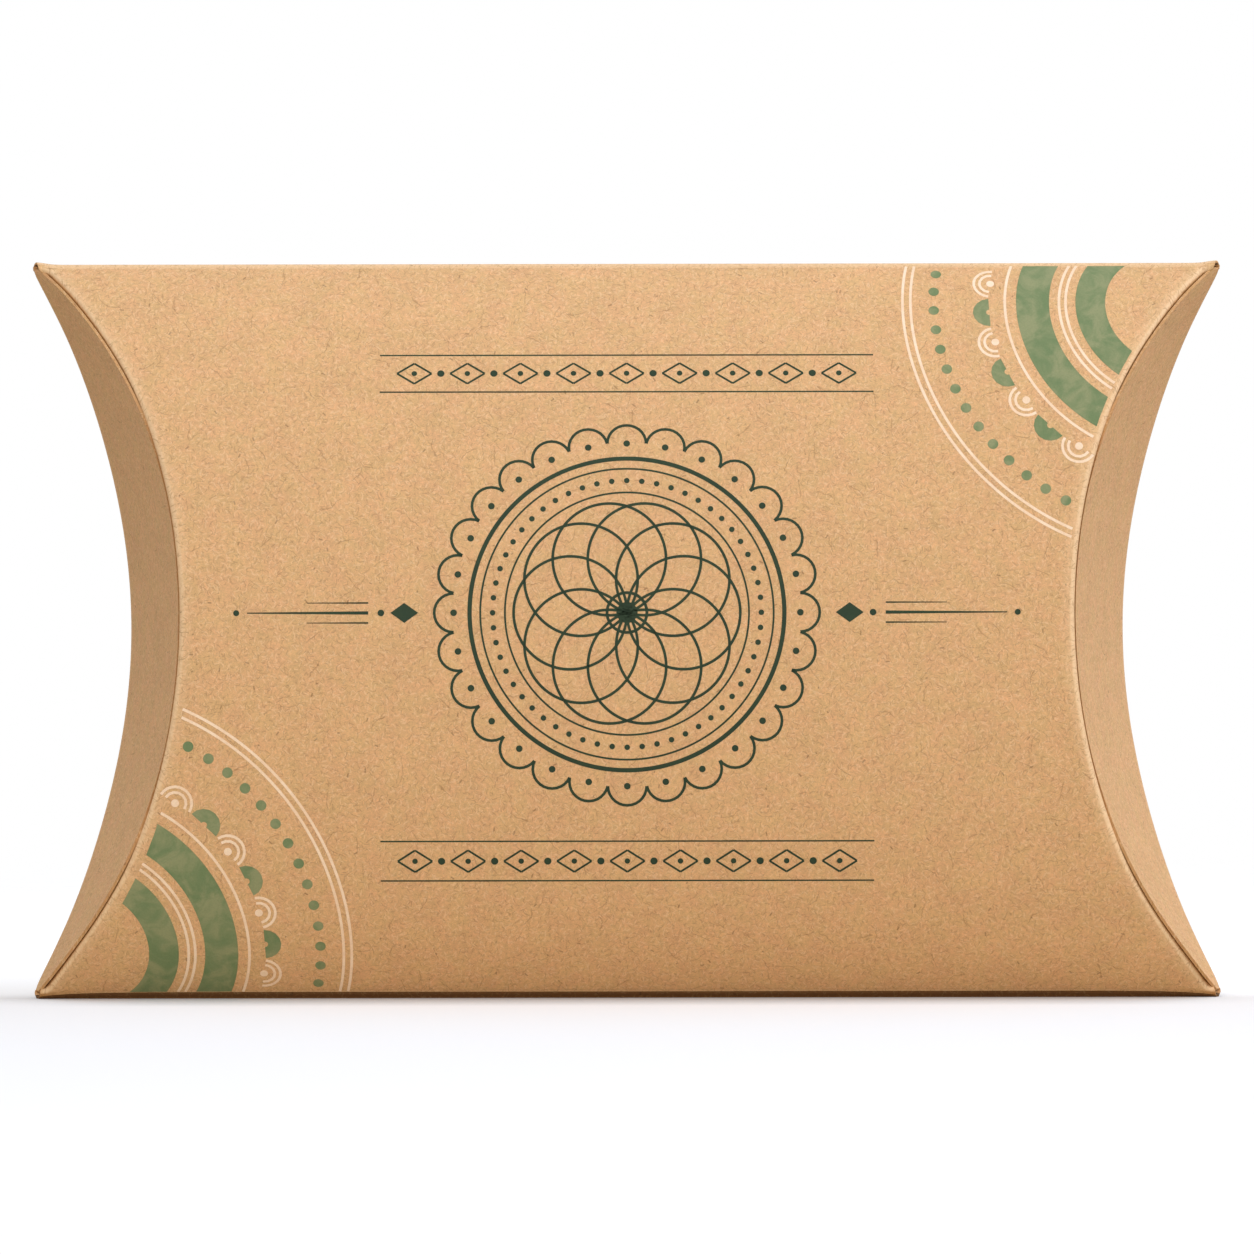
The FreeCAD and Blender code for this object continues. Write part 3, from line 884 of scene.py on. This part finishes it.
def ripple(inside, outside):
    """A broad ring about the corner whose ends follow the edges of the face."""
    radii = np.linspace(inside, outside, RIPPLE_ROWS)
    ends = np.array([ripple_angles(radius) for radius in radii])
    share = np.linspace(0, 1, RIPPLE_STEPS)
    angles = ends[:, :1] * (1 - share) + ends[:, 1:] * share
    return polar(CORNER, radii[:, None], angles), False


def corner_ripples():
    """Ripples that spread from a corner: broad bands, fine lines, a row of half rounds and beads."""
    broad, fine = [], []
    for inside, outside in RIPPLE_BANDS:
        broad.append(ripple(inside, outside))
    for radius in RIPPLE_LINES:
        fine.append(arc(CORNER, radius, INK_LINE, *ripple_angles(radius)))
    low, high = ripple_angles(ROUNDS_LIMIT)
    half = (high - low) / ROUNDS / 2
    size = ROUNDS_RING * math.sin(half) * ROUNDS_SHARE
    for step in range(ROUNDS):
        facing = low + (2 * step + 1) * half
        centre = polar(CORNER, ROUNDS_RING, facing)
        if step % 2:
            broad.append(band(centre, ROUND_HOLE, size, facing - QUARTER, facing + QUARTER))
            continue
        for share in ROUND_ARCS:
            fine.append(arc(centre, size * share, INK_LINE, facing - QUARTER, facing + QUARTER))
        fine.append(dot(centre, ROUND_DOT))
    low, high = ripple_angles(BEADS_RING)
    for step in range(BEADS):
        facing = low + (step + 0.5) * (high - low) / BEADS
        broad.append(dot(polar(CORNER, BEADS_RING, facing), BEADS_DOT))
    return broad, fine


def both_corners(patches):
    """The upper right corner's print, and the same turned half round at the lower left."""
    return patches + [(-grid, ring) for grid, ring in patches]


broad, fine = corner_ripples()
print_piece("medallion_print", medallion(), green_ink)
print_piece("rule_print", side_rules(), green_ink)
print_piece("chain_print", chain_bands(), green_ink)
print_piece("ripple_print", both_corners(broad), sage_ink)
print_piece("ripple_line_print", both_corners(fine), cream_ink)


# Floor, light and camera

FLOOR_HALF = 1.6
FLOOR_CLEAR_FROM = 0.12
FLOOR_CLEAR_TO = 0.6
FLOOR_BOUNCE = (0.60, 0.51, 0.37, 1)
FLOOR_SHADE = (0.045, 0.047, 0.05, 1)
FLOOR_SEEN = (0.86, 0.86, 0.865, 1)
FLOOR_GLOW_FRONT = 0.1
FLOOR_GLOW_BEHIND = 0.3
FLOOR_GLOW_FROM = -0.005
FLOOR_GLOW_TO = 0.015
FLOOR_SHADE_REACH = 0.018
FLOOR_SHADE_LEAST = 0.4

AMBIENT_SIDE = (0.185, 0.163, 0.148, 1)
AMBIENT_ABOVE = (0.71, 0.725, 0.765, 1)
LOOK_AT = Vector((0, 0, SEAT_HEIGHT * MM))
KEY_PLACE = (1.2, -0.4, 0.9)
KEY_POWER = 11.75
KEY_COLOUR = (0.955, 1.0, 1.1)
FILL_PLACE = (-0.26, -1.4, 0.52)
FILL_POWER = 9.85
FILL_COLOUR = (1.0, 1.0, 0.98)
LAMP_SIZE = 0.9


def seen_ray(tree):
    """1 for rays that show a thing, straight, mirrored or through glass, and 0 for light from it."""
    path = node(tree, "ShaderNodeLightPath").outputs
    straight = maths(tree, "MAXIMUM", path["Is Camera Ray"], path["Is Glossy Ray"])
    return maths(tree, "MAXIMUM", straight, path["Is Transmission Ray"])


def make_floor():
    """A white floor that keeps the shadow, with a painted contact shadow near the box, and clears into the
    white background far out.
    """
    shaper = bmesh.new()
    bmesh.ops.create_circle(shaper, cap_ends=True, segments=96, radius=FLOOR_HALF)
    mesh = bpy.data.meshes.new("floor")
    shaper.to_mesh(mesh)
    shaper.free()
    floor = bpy.data.objects.new("floor", mesh)
    bpy.context.scene.collection.objects.link(floor)
    made = bpy.data.materials.new("floor_white")
    made.use_nodes = True
    tree = made.node_tree
    tree.nodes.clear()
    place = node(tree, "ShaderNodeTexCoord").outputs["Object"]
    behind = node(tree, "ShaderNodeSeparateXYZ", {"Vector": place}).outputs[1]
    # Painted contact shadow: ambient occlusion darkens the floor's colour and glow near the box
    open_share = ramp(tree, crevice(tree, FLOOR_SHADE_REACH), 0.0, 1.0, FLOOR_SHADE_LEAST, 1.0, False)
    # The floor glows more behind the box than in front, painted light that lightens the box's shadow there
    strength = ramp(tree, behind, FLOOR_GLOW_FROM, FLOOR_GLOW_TO, FLOOR_GLOW_FRONT, FLOOR_GLOW_BEHIND)
    plain = node(tree, "ShaderNodeBsdfDiffuse", {"Color": mix(tree, open_share, FLOOR_SHADE, FLOOR_SEEN)})
    glow = node(tree, "ShaderNodeEmission", {"Color": (1, 1, 1, 1)})
    tree.links.new(maths(tree, "MULTIPLY", open_share, strength), glow.inputs["Strength"])
    seen = node(tree, "ShaderNodeAddShader")
    tree.links.new(plain.outputs[0], seen.inputs[0])
    tree.links.new(glow.outputs[0], seen.inputs[1])
    bounce = node(tree, "ShaderNodeBsdfDiffuse", {"Color": FLOOR_BOUNCE})
    chosen = node(tree, "ShaderNodeMixShader", {0: seen_ray(tree)})
    tree.links.new(bounce.outputs[0], chosen.inputs[1])
    tree.links.new(seen.outputs[0], chosen.inputs[2])
    far = node(tree, "ShaderNodeVectorMath", {0: place}, operation="LENGTH").outputs["Value"]
    clear = node(tree, "ShaderNodeMixShader", {0: ramp(tree, far, FLOOR_CLEAR_FROM, FLOOR_CLEAR_TO)})
    tree.links.new(chosen.outputs[0], clear.inputs[1])
    open_air = node(tree, "ShaderNodeBsdfTransparent")
    tree.links.new(open_air.outputs[0], clear.inputs[2])
    output = node(tree, "ShaderNodeOutputMaterial")
    tree.links.new(clear.outputs[0], output.inputs[0])
    mesh.materials.append(made)


def make_world():
    """White to the camera, and a soft light from above to everything else."""
    world = bpy.data.worlds.new("studio")
    world.use_nodes = True
    tree = world.node_tree
    tree.nodes.clear()
    aim = node(tree, "ShaderNodeTexCoord").outputs["Generated"]
    upward = node(tree, "ShaderNodeSeparateXYZ", {"Vector": aim}).outputs[2]
    sky = mix(tree, ramp(tree, upward, 0.0, 0.9), AMBIENT_SIDE, AMBIENT_ABOVE)
    colour = mix(tree, seen_ray(tree), sky, (1, 1, 1, 1))
    light = node(tree, "ShaderNodeBackground", {"Color": colour, "Strength": 1.0})
    output = node(tree, "ShaderNodeOutputWorld")
    tree.links.new(light.outputs[0], output.inputs[0])
    bpy.context.scene.world = world


def add_lamp(name, place, power, colour, size):
    data = bpy.data.lights.new(name, "AREA")
    data.shape = "DISK"
    data.size = size
    data.energy = power
    data.color = colour
    lamp = bpy.data.objects.new(name, data)
    lamp.location = place
    lamp.rotation_mode = "QUATERNION"
    lamp.rotation_quaternion = (LOOK_AT - Vector(place)).to_track_quat("-Z", "Y")
    bpy.context.scene.collection.objects.link(lamp)


make_floor()
make_world()
add_lamp("key", KEY_PLACE, KEY_POWER, KEY_COLOUR, LAMP_SIZE)
add_lamp("fill", FILL_PLACE, FILL_POWER, FILL_COLOUR, LAMP_SIZE)

CAMERA_DISTANCE = 1.2
CAMERA_RISE = math.radians(0.4)
VIEW_WIDTH = 190.9 * MM
VIEW_RISE = 0.4
VIEW_CENTRE = Vector((0, 0, (SEAT_HEIGHT + FLOOR_LIFT + VIEW_RISE) * MM))
CAMERA_ROLL = math.radians(0.1)
CAMERA_FAR = 20


def make_camera():
    data = bpy.data.cameras.new("camera")
    data.lens = data.sensor_width * CAMERA_DISTANCE / VIEW_WIDTH
    data.clip_end = CAMERA_FAR
    camera = bpy.data.objects.new("camera", data)
    back_off = Vector((0, -math.cos(CAMERA_RISE), math.sin(CAMERA_RISE)))
    camera.location = VIEW_CENTRE + CAMERA_DISTANCE * back_off
    camera.rotation_mode = "QUATERNION"
    upright = (-back_off).to_track_quat("-Z", "Y")
    camera.rotation_quaternion = upright @ Quaternion((0, 0, 1), -CAMERA_ROLL)
    bpy.context.scene.collection.objects.link(camera)
    bpy.context.scene.camera = camera


make_camera()
bpy.context.scene.view_settings.view_transform = "Standard"
